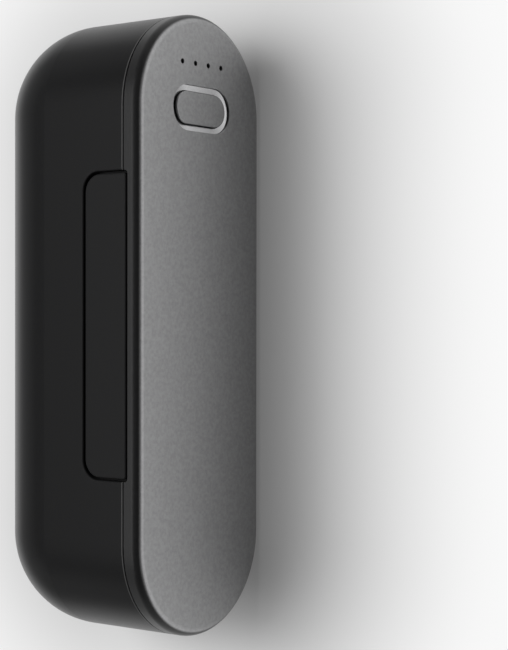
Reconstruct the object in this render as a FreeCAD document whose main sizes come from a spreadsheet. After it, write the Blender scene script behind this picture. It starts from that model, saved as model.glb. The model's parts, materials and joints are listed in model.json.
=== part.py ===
import FreeCAD, Part
import os
import re
import Sketcher

# Rechargeable hand warmer: a stadium-shaped bar with a flat heated face and a fully round back, built
# around one lithium cell.
#
# Frame: +X along the bar towards the power key, -Y out of the heated face, +Z out of the side that carries
# the socket cover. The origin is the middle of the side that the bar lies on.
#
# Every piece is drawn in the casing's own axes: x along the bar from its middle, y inwards from the heated
# face, z across the width from the middle plane. One shared shift then carries each piece into the frame.

# Driving sizes, in millimetres.
SIZES = {
    # Lithium cell, measured over its sleeve
    "cell_diameter": 21.2,
    "cell_length": 70.2,
    "sleeve_thickness": 0.1,
    "can_wall": 0.25,
    "can_base": 0.3,
    "terminal_rise": 0.9,
    "terminal_radius": 5.5,
    "terminal_thickness": 1.0,
    "crimp_height": 2.4,
    "crimp_width": 0.8,
    "nest_gap": 0.03,
    # Room that the casing leaves around the cell
    "wall": 1.6,
    "cell_side_room": 3.55,
    "cell_end_room": 14.9,
    "cell_back_room": 2.45,
    "cell_clearance": 0.25,
    # Front cap
    "parting_depth": 2.95,
    "reveal": 0.05,
    "cap_thickness": 1.3,
    "cap_edge_round": 1.4,
    "parting_round": 0.08,
    "lip_depth": 1.9,
    "lip_thickness": 1.05,
    "lip_gap": 0.1,
    "notch_gap": 0.5,
    # Seal between cap and shell
    "seal_width": 0.7,
    "seal_height": 0.6,
    "seal_gap": 0.1,
    # Socket cover and the strip that anchors it
    "cover_length": 47.5,
    "cover_lap": 0.45,
    "cover_margin": 0.88,
    "cover_thickness": 1.5,
    "cover_gap": 0.4,
    "hinge_gap": 0.36,
    "floor_gap": 0.1,
    "cover_back_round": 2.85,
    "cover_front_round": 0.5,
    "cover_edge_round": 0.3,
    "recess_edge_round": 0.25,
    "notch_round": 0.6,
    "hinge_zone": 1.5,
    "hinge_relief": 0.75,
    "plug_margin": 0.55,
    "plug_end_gap": 0.3,
    "plug_round": 0.4,
    "output_plug_depth": 1.1,
    "charging_plug_depth": 0.9,
    "root_room": 0.65,
    "root_gap": 0.1,
    "root_ledge": 0.4,
    "root_inset": 0.8,
    # Sockets
    "port_wall": 1.4,
    "port_web": 0.55,
    "socket_gap": 0.1,
    "socket_set": 0.05,
    "socket_sheet": 0.3,
    "socket_fit": 0.05,
    "output_place": -9.0,
    "output_width": 13.1,
    "output_height": 5.7,
    "output_length": 11.5,
    "output_base": 1.4,
    "output_tongue_gap": 0.75,
    "output_tongue_thickness": 1.8,
    "output_tongue_shift": 0.7,
    "output_tongue_set": 2.1,
    "charging_place": 11.0,
    "charging_width": 8.94,
    "charging_height": 3.26,
    "charging_length": 7.0,
    "charging_base": 1.2,
    "charging_tongue_gap": 0.82,
    "charging_tongue_thickness": 0.7,
    "charging_tongue_set": 1.2,
    # Power key, its trim ring and its switch
    "key_inset": 15.2,
    "key_width": 5.2,
    "key_length": 12.35,
    "key_set": 0.09,
    "key_gap": 0.15,
    "key_edge_round": 0.12,
    "key_play": 0.05,
    "key_flange": 0.55,
    "key_flange_margin": 0.65,
    "key_travel": 0.35,
    "ring_width": 0.9,
    "ring_land": 0.06,
    "ring_fit": 0.03,
    "ring_set": 0.4,
    "ring_drop": 0.2,
    "ring_flange": 0.55,
    "ring_flange_margin": 1.0,
    "switch_side": 4.5,
    "switch_height": 1.6,
    "plunger_radius": 1.2,
    "plunger_gap": 0.05,
    "plunger_sink": 0.8,
    "plunger_floor_gap": 0.1,
    # Battery level lights
    "light_inset": 8.0,
    "light_pitch": 3.3,
    "light_hole_radius": 0.42,
    "light_pin_gap": 0.04,
    "light_pin_set": 0.35,
    "guide_width": 2.2,
    "guide_margin": 1.3,
    "lamp_length": 1.6,
    "lamp_width": 0.8,
    "lamp_height": 0.6,
    "lamp_gap": 0.2,
    # Circuit board and the parts on it
    "board_thickness": 1.2,
    "board_gap": 0.15,
    "board_edge_gap": 0.35,
    "board_cut_gap": 0.2,
    "board_tail": 25.0,
    "ear_place": 18.5,
    "ear_width": 6.0,
    "ear_gap": 0.1,
    "chip_side": 5.0,
    "chip_height": 0.9,
    "chip_place": 23.0,
    "chip_pitch": 8.0,
    "chip_rail_gap": 3.7,
    "coil_side": 6.5,
    "coil_height": 3.0,
    "coil_place": 2.0,
    "coil_rail_gap": 1.45,
    "coil_corner": 1.0,
    "capacitor_length": 3.2,
    "capacitor_side": 1.6,
    "capacitor_place": -7.0,
    "capacitor_pitch": 3.4,
    "capacitor_rail_gap": 2.6,
    # Inner frame and screws
    "frame_depth": 11.0,
    "frame_plate": 3.0,
    "frame_stop": 1.5,
    "bore_gap": 0.3,
    "cell_end_gap": 0.5,
    "rail_width": 3.2,
    "window_depth": 6.0,
    "bay_gap": 0.15,
    "boss_radius": 2.5,
    "boss_gap": 0.4,
    "frame_screw_radius": 1.0,
    "frame_screw_length": 7.0,
    "frame_head_radius": 1.9,
    "frame_head_height": 1.2,
    "head_gap": 0.15,
    "thread_gap": 0.02,
    "pilot_spare": 1.0,
    "board_screw_radius": 0.85,
    "board_screw_length": 5.0,
    "board_head_radius": 1.5,
    "board_head_height": 0.9,
    "board_screw_edge": 1.6,
    "board_screw_near": 26.0,
    "board_screw_far": 21.0,
    "drive_radius": 0.6,
    "drive_depth": 0.5,
    # Heaters, insulation, sensor and cell connections
    "heater_thickness": 0.2,
    "heater_edge": 0.6,
    "heater_margin": 1.5,
    "film_gap": 0.05,
    "tail_width": 5.0,
    "insulation_thickness": 1.0,
    "insulation_edge": 0.9,
    "lead_room": 4.5,
    "lead_radius": 0.45,
    "lead_spread": 2.0,
    "lead_inset": 2.0,
    "sensor_radius": 0.7,
    "sensor_length": 2.6,
    "sensor_leg_radius": 0.2,
    "sensor_leg_spread": 0.8,
    "sensor_drop": 6.0,
    "pad_place": 20.0,
    "pad_length": 10.0,
    "pad_half_width": 7.5,
    "pad_start": 4.0,
    "strip_thickness": 0.2,
    "strip_width": 6.0,
    "strip_foot": 4.0,
    "strip_weld": 2.0,
    "strip_lap": 3.0,
    # How far a cut runs past the face that it opens
    "overrun": 1.0,
}

# Sizes that follow from the driving ones.
DERIVED = {
    "width": "cell_diameter + 2 * (cell_side_room + wall)",
    "length": "cell_length + 2 * cell_end_room",
    "half_width": "width / 2",
    "span": "length - width",
    "shell_front": "parting_depth + reveal",
    "port_axis": "shell_front + root_room + port_web + socket_gap + output_height / 2",
    "cell_axis": "port_axis + output_height / 2 + cell_clearance + cell_diameter / 2",
    "depth": "cell_axis + cell_diameter / 2 + cell_back_room + wall",
    "round_axis": "depth - half_width",
    "inner_radius": "half_width - wall",
    "lip_radius": "inner_radius - lip_gap",
    "lip_inner": "lip_radius - lip_thickness",
    "lip_end": "parting_depth + lip_depth",
    "seal_seat": "inner_radius + 2 * seal_gap + seal_width",
    "seal_end": "parting_depth + seal_height",
    "cover_front": "parting_depth - cover_lap",
    "cover_back": "port_axis + output_height / 2 + socket_gap + cover_margin",
    "cover_under": "half_width - cover_thickness",
    "recess_front": "cover_front - hinge_gap",
    "recess_back": "cover_back + cover_gap",
    "recess_half": "cover_length / 2 + cover_gap",
    "recess_floor": "cover_under - floor_gap",
    "port_inner": "recess_floor - port_wall",
    "port_half": "recess_half + wall",
    "root_half": "cover_length / 2 - root_inset",
    "root_floor": "port_inner + root_ledge",
    "mouth": "recess_floor - socket_set",
    "output_inner": "mouth - output_length",
    "charging_inner": "mouth - charging_length",
    "output_tongue_width": "output_width - 2 * (socket_sheet + output_tongue_gap)",
    "charging_tongue_width": "charging_width - 2 * (socket_sheet + charging_tongue_gap)",
    "key_place": "length / 2 - key_inset",
    "ring_outer_width": "key_width + 2 * (key_gap + ring_width)",
    "ring_outer_length": "key_length + 2 * (key_gap + ring_width)",
    "ring_end": "cap_thickness + ring_flange",
    "key_flange_front": "ring_end + key_play",
    "key_end": "key_flange_front + key_flange",
    "plunger_front": "key_end + plunger_gap",
    "switch_front": "board_front - switch_height",
    "light_place": "length / 2 - light_inset",
    "guide_end": "board_front - lamp_height - lamp_gap",
    "board_front": "lip_end + board_gap",
    "board_back": "board_front + board_thickness",
    "board_half": "port_inner - board_edge_gap",
    "ear_end": "inner_radius - film_gap - heater_thickness - ear_gap",
    "rail_inner": "board_half - rail_width",
    "chip_drop": "rail_inner - chip_rail_gap - chip_side / 2",
    "coil_drop": "rail_inner - coil_rail_gap - coil_side / 2",
    "capacitor_drop": "rail_inner - capacitor_rail_gap - capacitor_length / 2",
    "frame_end": "board_back + frame_depth",
    "frame_plate_end": "board_back + frame_plate",
    "bore_radius": "cell_diameter / 2 + bore_gap",
    "bore_half": "cell_length / 2 + strip_thickness + cell_end_gap",
    "boss_place": "bore_half + frame_stop + boss_gap + boss_radius",
    "board_screw_row": "board_half - board_screw_edge",
    "heater_back": "cap_thickness + heater_thickness",
    "heater_end": "key_place - ring_outer_width / 2 - ring_flange_margin - heater_margin",
    "film_outer": "inner_radius - film_gap",
    "film_inner": "film_outer - heater_thickness",
    "can_radius": "cell_diameter / 2 - sleeve_thickness - nest_gap",
    "can_bore": "can_radius - can_wall",
    "can_end": "cell_length / 2 - terminal_rise",
}

# How many of each repeated part there are.
LIGHT_COUNT = 4
CHIP_COUNT = 2
CAPACITOR_COUNT = 4

# Two places closer than this are taken as the same.
SLACK = 1e-4

DOC = FreeCAD.newDocument("HandWarmer")
SHEET = DOC.addObject("Spreadsheet::Sheet", "Sizes")
PIECES = []


def fill_sheet():
    """Write every driving size into the sheet under its own alias."""
    for row, (name, value) in enumerate(SIZES.items(), start=1):
        SHEET.set(f"A{row}", name)
        SHEET.set(f"B{row}", str(value))
        SHEET.setAlias(f"B{row}", name)
    DOC.recompute()


def formula(words):
    """Spell a formula written in size names as an expression on the sheet."""

    def spell(match):
        name = match.group(0)
        if name in DERIVED:
            return "(" + formula(DERIVED[name]) + ")"
        return "Sizes." + name

    return re.sub(r"[a-z_]+", spell, words)


def number(words):
    """Give the present value of a formula written in size names."""
    return float(SHEET.evalExpression(formula(words)))


def bind(thing, prop, words):
    """Tie one property of an object to a formula."""
    thing.setExpression(prop, formula(words))


def finish(thing, label):
    """Shift a finished piece from the casing's axes into the frame and list it under its name."""
    thing.Label = label
    bind(thing, ".Placement.Base.y", "0 - depth / 2")
    bind(thing, ".Placement.Base.z", "half_width")
    PIECES.append(thing)
    return thing


# Plain solids

TURNS = {
    "X": FreeCAD.Rotation(FreeCAD.Vector(0, 1, 0), 90),
    "Y": FreeCAD.Rotation(FreeCAD.Vector(1, 0, 0), -90),
    "Z": FreeCAD.Rotation(),
}


def block(name, x, y, z):
    """Make a box from three (start, stop) pairs of formulas."""
    box = DOC.addObject("Part::Box", name)
    for side, axis, (start, stop) in zip(("Length", "Width", "Height"), "xyz", (x, y, z)):
        bind(box, side, f"({stop}) - ({start})")
        bind(box, ".Placement.Base." + axis, start)
    return box


def rod(name, axis, radius, reach, **centre):
    """Make a cylinder along one axis, from reach's start to its stop, on a centre line."""
    start, stop = reach
    cylinder = DOC.addObject("Part::Cylinder", name)
    cylinder.Placement = FreeCAD.Placement(FreeCAD.Vector(), TURNS[axis])
    bind(cylinder, "Radius", radius)
    bind(cylinder, "Height", f"({stop}) - ({start})")
    bind(cylinder, ".Placement.Base." + axis.lower(), start)
    for side, words in centre.items():
        bind(cylinder, ".Placement.Base." + side, words)
    return cylinder


def fuse(name, solids):
    """Join solids into one."""
    joined = DOC.addObject("Part::MultiFuse", name)
    joined.Shapes = solids
    joined.Refine = True
    return joined


def cut(name, base, tools):
    """Take tools away from a base."""
    left = DOC.addObject("Part::Cut", name)
    left.Base = base
    left.Tool = tools[0] if len(tools) == 1 else fuse(name + "_tools", tools)
    left.Refine = True
    return left


def common(name, solids):
    """Keep what solids share."""
    shared = DOC.addObject("Part::MultiCommon", name)
    shared.Shapes = solids
    return shared


def group(name, solids):
    """Hold separate solids together as one piece."""
    held = DOC.addObject("Part::Compound", name)
    held.Links = solids
    return held


# Sketched bodies

def new_body(name):
    """Start a body drawn in the casing's axes."""
    return DOC.addObject("PartDesign::Body", name)


def sketch_on(body, name, role, x="0", y="0", lift="0"):
    """Start a sketch on one of a body's origin planes, moved within the plane and along its normal."""
    plane = next(side for side in body.Origin.OriginFeatures if side.Role == role)
    sketch = body.newObject("Sketcher::SketchObject", name)
    sketch.AttachmentSupport = [(plane, "")]
    sketch.MapMode = "FlatFace"
    bind(sketch, ".AttachmentOffset.Base.x", x)
    bind(sketch, ".AttachmentOffset.Base.y", y)
    bind(sketch, ".AttachmentOffset.Base.z", lift)
    return sketch


def face_sketch(body, name, inwards, x="0", z="0"):
    """Start a sketch parallel to the heated face, a given way inwards from it."""
    return sketch_on(body, name, "XZ_Plane", x, z, f"0 - ({inwards})")


def dimension(sketch, kind, name, words, *ends):
    """Add a named dimension that follows a formula."""
    sketch.addConstraint(Sketcher.Constraint(kind, *ends, number(words)))
    sketch.renameConstraint(sketch.ConstraintCount - 1, name)
    bind(sketch, "Constraints." + name, words)


def add_lines(sketch, corners):
    """Draw a closed chain of straight lines through corners."""
    points = [FreeCAD.Vector(x, y, 0) for x, y in corners]
    for start, stop in zip(points, points[1:] + points[:1]):
        sketch.addGeometry(Part.LineSegment(start, stop), False)


def add_arc(sketch, centre, radius, start, stop):
    """Draw an arc by its centre, radius and end angles in quarter turns."""
    quarter = FreeCAD.Units.parseQuantity("90 deg").getValueAs("rad").Value
    circle = Part.Circle(FreeCAD.Vector(*centre, 0), FreeCAD.Vector(0, 0, 1), radius)
    sketch.addGeometry(Part.ArcOfCircle(circle, start * quarter, stop * quarter), False)


def rectangle(sketch, wide, tall):
    """Draw a rectangle about the sketch's origin."""
    across, along = number(wide) / 2, number(tall) / 2
    add_lines(sketch, [(-across, -along), (across, -along), (across, along), (-across, along)])
    for line in range(4):
        sketch.addConstraint(Sketcher.Constraint("Coincident", line, 2, (line + 1) % 4, 1))
        sketch.addConstraint(Sketcher.Constraint("Vertical" if line % 2 else "Horizontal", line))
    sketch.addConstraint(Sketcher.Constraint("Symmetric", 0, 1, 2, 1, -1, 1))
    dimension(sketch, "DistanceX", "Wide", wide, 0, 1, 0, 2)
    dimension(sketch, "DistanceY", "Tall", tall, 1, 1, 1, 2)


def circle_outline(sketch, radius):
    """Draw a circle about the sketch's origin."""
    sketch.addGeometry(Part.Circle(FreeCAD.Vector(), FreeCAD.Vector(0, 0, 1), number(radius)), False)
    sketch.addConstraint(Sketcher.Constraint("Coincident", 0, 3, -1, 1))
    dimension(sketch, "Radius", "Radius", radius, 0)


def stadium(sketch, between, radius, upright=False):
    """Draw a stadium about the sketch's origin: two half circles, a given way between their centres."""
    reach, size = number(between) / 2, number(radius)
    if upright:
        first, second, turn = (0, reach), (0, -reach), 1
    else:
        first, second, turn = (reach, 0), (-reach, 0), 0
    add_arc(sketch, first, size, turn - 1, turn + 1)
    add_arc(sketch, second, size, turn + 1, turn + 3)
    sides = [sketch.Geometry[arc].EndPoint for arc in (0, 1)]
    far = [sketch.Geometry[arc].StartPoint for arc in (1, 0)]
    for start, stop in zip(sides, far):
        sketch.addGeometry(Part.LineSegment(start, stop), False)
    for line, arc, other in ((2, 0, 1), (3, 1, 0)):
        sketch.addConstraint(Sketcher.Constraint("Tangent", arc, 2, line, 1))
        sketch.addConstraint(Sketcher.Constraint("Tangent", line, 2, other, 1))
    sketch.addConstraint(Sketcher.Constraint("Vertical" if upright else "Horizontal", 2))
    sketch.addConstraint(Sketcher.Constraint("Symmetric", 0, 3, 1, 3, -1, 1))
    dimension(sketch, "Radius", "Radius", radius, 0)
    dimension(sketch, "DistanceY" if upright else "DistanceX", "Between", between, 1, 3, 0, 3)


def pad(body, sketch, length, back=False):
    """Raise a sketch into a solid along its normal, or the other way."""
    feature = body.newObject("PartDesign::Pad", sketch.Name + "_pad")
    feature.Profile = sketch
    feature.Reversed = back
    bind(feature, "Length", length)
    DOC.recompute()
    return feature


def pocket(body, sketch, length, back=False):
    """Cut a sketch out of the solid against its normal, or along it."""
    before = body.Shape.Volume
    feature = body.newObject("PartDesign::Pocket", sketch.Name + "_pocket")
    feature.Profile = sketch
    feature.Reversed = back
    bind(feature, "Length", length)
    DOC.recompute()
    if body.Shape.Volume >= before:
        raise RuntimeError(f"{feature.Name} cut nothing")
    return feature


def edges_where(shape, test):
    """Name the edges of a shape that pass a test."""
    return [f"Edge{index}" for index, edge in enumerate(shape.Edges, start=1) if test(edge)]


def lies_at(axis, words):
    """Make a test for edges that lie in a plane square to an axis."""
    place = number(words)

    def test(edge):
        box = edge.BoundBox
        low, high = getattr(box, axis + "Min"), getattr(box, axis + "Max")
        return high - low < SLACK and abs(low - place) < SLACK

    return test


def runs_along(axis, side, low, high):
    """Make a test for straight edges along an axis whose other coordinate lies between two values."""

    def test(edge):
        box = edge.BoundBox
        spans = {name: getattr(box, name + "Length") for name in "XYZ"}
        thin = all(size < SLACK for name, size in spans.items() if name != axis)
        middle = getattr(box.Center, side)
        return thin and spans[axis] > SLACK and low < middle < high

    return test


def ease(body, kind, edges, size, words):
    """Round or bevel named edges of the body's last feature."""
    base = body.Tip
    feature = body.newObject("PartDesign::" + kind, f"{base.Name}_{kind.lower()}")
    feature.Base = (base, edges)
    bind(feature, size, words)
    DOC.recompute()
    return feature


# Pieces

def bar_form(name, radius, front):
    """Make the casing's basic form: straight sides from front to the round, then a full round back."""
    body = new_body(name)
    straight = f"round_axis - ({front})"
    size, reach = number(radius), number(straight)

    section = sketch_on(body, name + "_section", "YZ_Plane", x="round_axis", lift="0 - span / 2")
    add_arc(section, (0, 0), size, -1, 1)
    corners = [(0, size), (-reach, size), (-reach, -size), (0, -size)]
    points = [FreeCAD.Vector(x, y, 0) for x, y in corners]
    for start, stop in zip(points, points[1:]):
        section.addGeometry(Part.LineSegment(start, stop), False)
    for kind, *ends in (
        ("Coincident", 0, 3, -1, 1),
        ("Tangent", 0, 2, 1, 1),
        ("Coincident", 1, 2, 2, 1),
        ("Coincident", 2, 2, 3, 1),
        ("Tangent", 3, 2, 0, 1),
        ("Horizontal", 1),
        ("Horizontal", 3),
        ("Vertical", 2),
    ):
        section.addConstraint(Sketcher.Constraint(kind, *ends))
    dimension(section, "Radius", "Radius", radius, 0)
    dimension(section, "DistanceX", "Straight", straight, 1, 2, 1, 1)
    pad(body, section, "span")

    for side, word in ((1, "span / 2"), (-1, "0 - span / 2")):
        half = sketch_on(body, f"{name}_end{'ab'[side < 0]}", "YZ_Plane", x="round_axis", lift=word)
        add_arc(half, (0, 0), size, 0, 1)
        corners = [(0, size), (-reach, size), (-reach, 0), (size, 0)]
        points = [FreeCAD.Vector(x, y, 0) for x, y in corners]
        for start, stop in zip(points, points[1:]):
            half.addGeometry(Part.LineSegment(start, stop), False)
        for kind, *ends in (
            ("Coincident", 0, 3, -1, 1),
            ("Tangent", 0, 2, 1, 1),
            ("Coincident", 1, 2, 2, 1),
            ("Coincident", 2, 2, 3, 1),
            ("Coincident", 3, 2, 0, 1),
            ("Horizontal", 1),
            ("Vertical", 2),
            ("PointOnObject", 3, 1, -1),
            ("PointOnObject", 3, 2, -1),
        ):
            half.addConstraint(Sketcher.Constraint(kind, *ends))
        dimension(half, "Radius", "Radius", radius, 0)
        dimension(half, "DistanceX", "Straight", straight, 1, 2, 1, 1)
        end = body.newObject("PartDesign::Revolution", half.Name + "_turn")
        end.Profile = half
        end.ReferenceAxis = (half, ["H_Axis"])
        end.Angle = 180
        end.Reversed = side < 0
        DOC.recompute()
    return body


def cover_recess():
    """Make the block, round at its back corners, that the cover's recess takes out of the side."""
    body = new_body("cover_recess")
    front = "shell_front - overrun"
    middle = f"({front} + recess_back) / 2"
    outline = sketch_on(body, "cover_recess_outline", "XY_Plane", y=middle, lift="recess_floor")
    rectangle(outline, "2 * recess_half", f"recess_back - ({front})")
    pad(body, outline, "half_width - recess_floor + overrun")
    behind = runs_along("Z", "y", number(middle), number("recess_back + overrun"))
    ease(body, "Fillet", edges_where(body.Tip.Shape, behind), "Radius", "cover_back_round + cover_gap / 2")
    return body


def make_back_shell():
    """Make the deep shell: sides, round back, recess for the cover, socket holes and screw bosses."""
    outside = bar_form("shell_outside", "half_width", "shell_front")
    rim = edges_where(outside.Tip.Shape, lies_at("Y", "shell_front"))
    ease(outside, "Fillet", rim, "Radius", "parting_round")
    cavity = bar_form("shell_cavity", "inner_radius", "shell_front")
    port_block = block(
        "port_block",
        ("0 - port_half", "port_half"),
        ("shell_front", "recess_back + wall"),
        ("port_inner", "half_width"),
    )
    bosses = [
        rod(f"boss_{side}", "Y", "boss_radius", ("frame_plate_end", "depth"), x=f"{sign}boss_place")
        for side, sign in (("near", ""), ("far", "0 - "))
    ]
    room = cut("shell_room", cavity, [port_block] + bosses)
    blank = cut("shell_blank", outside, [room])
    tools = [cover_recess()]
    tools.append(block(
        "root_rebate",
        ("0 - root_half - root_gap", "root_half + root_gap"),
        ("shell_front - overrun", "shell_front + root_room"),
        ("root_floor", "recess_floor + overrun"),
    ))
    tools.append(block(
        "output_hole",
        ("output_place - output_width / 2 - socket_gap", "output_place + output_width / 2 + socket_gap"),
        ("port_axis - output_height / 2 - socket_gap", "port_axis + output_height / 2 + socket_gap"),
        ("port_inner - overrun", "recess_floor + overrun"),
    ))
    tools.append(charging_hole())
    tools.append(seal_seat())
    for side, sign in (("near", ""), ("far", "0 - ")):
        pilot_end = "board_back + frame_head_height + frame_screw_length + pilot_spare"
        tools.append(rod(
            f"boss_pilot_{side}", "Y", "frame_screw_radius + thread_gap",
            ("frame_plate_end - overrun", pilot_end), x=f"{sign}boss_place",
        ))
    shell = cut("shell", blank, tools)
    DOC.recompute()
    eased = DOC.addObject("Part::Fillet", "shell_eased")
    eased.Base = shell
    size = number("recess_edge_round")
    names = edges_where(shell.Shape, on_recess_rim)
    eased.Edges = [(int(name.removeprefix("Edge")), size, size) for name in names]
    finish(eased, "back_shell")


def on_recess_rim(edge):
    """Tell whether an edge of the shell runs around the mouth of the cover's recess."""
    box = edge.BoundBox
    level = lies_at("Z", "half_width")(edge)
    within = max(abs(box.XMin), abs(box.XMax)) < number("recess_half") + SLACK
    behind = box.YMax > number("shell_front + parting_round") + SLACK
    return level and within and behind and box.YMax < number("recess_back") + SLACK


def charging_hole():
    """Make the stadium-shaped block that the charging socket's hole takes out of the socket wall."""
    body = new_body("charging_hole")
    outline = sketch_on(
        body, "charging_hole_outline", "XY_Plane",
        x="charging_place", y="port_axis", lift="port_inner - overrun",
    )
    stadium(outline, "charging_width - charging_height", "charging_height / 2 + socket_gap")
    pad(body, outline, "port_wall + 2 * overrun")
    return body


def seal_seat():
    """Make the step that the seal takes out of the shell's inner rim."""
    body = new_body("seal_seat")
    outline = face_sketch(body, "seal_seat_outline", "shell_front - overrun")
    stadium(outline, "span", "seal_seat")
    pad(body, outline, "seal_end - shell_front + seal_gap + overrun", back=True)
    bore = face_sketch(body, "seal_seat_bore", "shell_front - overrun")
    stadium(bore, "span", "inner_radius - seal_gap")
    pocket(body, bore, "seal_end + 2 * overrun")
    gap = face_sketch(body, "seal_seat_gap", "0", z="half_width")
    rectangle(gap, "2 * port_half", "half_width")
    pocket(body, gap, "depth")
    return body


def make_front_cap():
    """Make the heated front cap: face, rim, lip, key opening, light holes and the cover's notch."""
    body = new_body("cap")
    outline = face_sketch(body, "cap_outline", "0")
    stadium(outline, "span", "half_width")
    pad(body, outline, "parting_depth", back=True)
    ease(body, "Fillet", edges_where(body.Tip.Shape, lies_at("Y", "0")), "Radius", "cap_edge_round")
    rim = edges_where(body.Tip.Shape, lies_at("Y", "parting_depth"))
    ease(body, "Fillet", rim, "Radius", "parting_round")

    lip = face_sketch(body, "cap_lip", "parting_depth")
    stadium(lip, "span", "lip_radius")
    pad(body, lip, "lip_depth", back=True)
    hollow = face_sketch(body, "cap_hollow", "cap_thickness")
    stadium(hollow, "span", "lip_inner")
    pocket(body, hollow, "lip_end")

    lip_notch = face_sketch(body, "cap_lip_notch", "parting_depth", z="half_width")
    rectangle(lip_notch, "2 * (port_half + notch_gap)", "2 * (half_width - port_inner + notch_gap)")
    pocket(body, lip_notch, "lip_depth + overrun")
    cover_notch = face_sketch(body, "cap_cover_notch", "recess_front", z="half_width")
    rectangle(cover_notch, "2 * recess_half", "2 * (half_width - recess_floor)")
    pocket(body, cover_notch, "parting_depth")
    front = number("recess_front")
    corners = edges_where(body.Tip.Shape, runs_along("Z", "y", front - SLACK, front + SLACK))
    ease(body, "Fillet", corners, "Radius", "notch_round")

    opening = face_sketch(body, "cap_key_opening", "0", x="key_place")
    stadium(opening, "key_length - key_width", "ring_outer_width / 2 + ring_fit", upright=True)
    pocket(body, opening, "cap_thickness + overrun")
    for index in range(LIGHT_COUNT):
        hole = face_sketch(body, f"cap_light_hole_{index}", "0", x="light_place", z=light_row(index))
        circle_outline(hole, "light_hole_radius")
        pocket(body, hole, "cap_thickness + overrun")
    finish(body, "front_cap")


def light_row(index):
    """Give the place across the width of one of the lights."""
    return f"{2 * index - (LIGHT_COUNT - 1)} * light_pitch / 2"


def make_cap_seal():
    """Make the seal that sits in the shell's step and stops at the socket wall."""
    body = new_body("seal")
    outline = face_sketch(body, "seal_outline", "parting_depth")
    stadium(outline, "span", "seal_seat - seal_gap")
    pad(body, outline, "seal_height", back=True)
    bore = face_sketch(body, "seal_bore", "parting_depth")
    stadium(bore, "span", "inner_radius + seal_gap")
    pocket(body, bore, "seal_height + overrun")
    gap = face_sketch(body, "seal_gap_cut", "0", z="half_width")
    rectangle(gap, "2 * (port_half + seal_gap)", "half_width")
    pocket(body, gap, "depth")
    finish(body, "cap_seal")


def make_port_cover():
    """Make the flexible cover with its two plugs on the inner side."""
    body = new_body("cover")
    middle = "(cover_front + cover_back) / 2"
    outline = sketch_on(body, "cover_outline", "XY_Plane", y=middle, lift="cover_under")
    rectangle(outline, "cover_length", "cover_back - cover_front")
    pad(body, outline, "cover_thickness")
    behind = runs_along("Z", "y", number(middle), number("cover_back + overrun"))
    ease(body, "Fillet", edges_where(body.Tip.Shape, behind), "Radius", "cover_back_round")
    front = number("cover_front")
    corners = edges_where(body.Tip.Shape, runs_along("Z", "y", front - SLACK, front + SLACK))
    ease(body, "Fillet", corners, "Radius", "cover_front_round")
    top = edges_where(body.Tip.Shape, lies_at("Z", "half_width"))
    ease(body, "Fillet", top, "Radius", "cover_edge_round")
    relief = sketch_on(
        body, "cover_hinge_relief", "XY_Plane", y="cover_front + hinge_zone / 2", lift="cover_under",
    )
    rectangle(relief, "cover_length + 2 * overrun", "hinge_zone")
    pocket(body, relief, "hinge_relief", back=True)
    for plug in ("output", "charging"):
        place = plug + "_place"
        stub = sketch_on(body, plug + "_plug", "XY_Plane", x=place, y="port_axis", lift="cover_under")
        if plug == "charging":
            round_end = "charging_height / 2 - socket_sheet - plug_margin"
            stadium(stub, "charging_width - charging_height", round_end)
        else:
            wide = "output_width - 2 * (socket_sheet + plug_end_gap)"
            rectangle(stub, wide, "output_height - 2 * (socket_sheet + plug_margin)")
        pad(body, stub, plug + "_plug_depth", back=True)
        tip = edges_where(body.Tip.Shape, lies_at("Z", f"cover_under - {plug}_plug_depth"))
        ease(body, "Fillet", tip, "Radius", "plug_round")
    finish(body, "port_cover")


def make_cover_root():
    """Make the strip, moulded with the cover, that the cap and shell clamp."""
    root = block(
        "root",
        ("0 - root_half", "root_half"),
        ("parting_depth + root_gap", "shell_front + root_room - root_gap"),
        ("root_floor + root_gap", "recess_floor - root_gap"),
    )
    finish(group("root_strip", [root]), "cover_anchor")


def make_power_key():
    """Make the key that travels in the trim ring, with the flange that keeps it in."""
    body = new_body("key")
    top = face_sketch(body, "key_outline", "key_set", x="key_place")
    stadium(top, "key_length - key_width", "key_width / 2", upright=True)
    pad(body, top, "key_end - key_set", back=True)
    ease(body, "Fillet", edges_where(body.Tip.Shape, lies_at("Y", "key_set")), "Radius", "key_edge_round")
    flange = face_sketch(body, "key_flange_outline", "key_flange_front", x="key_place")
    stadium(flange, "key_length - key_width", "key_width / 2 + key_flange_margin", upright=True)
    pad(body, flange, "key_flange", back=True)
    finish(body, "power_button")


def make_trim_ring():
    """Make the ring between the key and the cap's opening, dished towards the key."""
    body = new_body("ring")
    outline = face_sketch(body, "ring_outline", "ring_set", x="key_place")
    stadium(outline, "key_length - key_width", "ring_outer_width / 2", upright=True)
    pad(body, outline, "ring_end - ring_set", back=True)
    flange = face_sketch(body, "ring_flange_outline", "cap_thickness", x="key_place")
    stadium(flange, "key_length - key_width", "ring_outer_width / 2 + ring_flange_margin", upright=True)
    pad(body, flange, "ring_flange", back=True)
    opening = face_sketch(body, "ring_opening", "0", x="key_place")
    stadium(opening, "key_length - key_width", "key_width / 2 + key_gap", upright=True)
    pocket(body, opening, "ring_end + overrun")
    mouth = edges_where(body.Tip.Shape, on_ring_mouth)
    dish = ease(body, "Chamfer", mouth, "Size", "ring_width - ring_land")
    dish.ChamferType = "Two distances"
    bind(dish, "Size2", "ring_drop")
    DOC.recompute()
    finish(body, "button_ring")


def on_ring_mouth(edge):
    """Tell whether an edge of the ring runs around its opening for the key, at the front."""
    middle = number("key_place")
    reach = max(abs(edge.BoundBox.XMin - middle), abs(edge.BoundBox.XMax - middle))
    return lies_at("Y", "ring_set")(edge) and reach < number("key_width / 2 + key_gap") + SLACK


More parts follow.
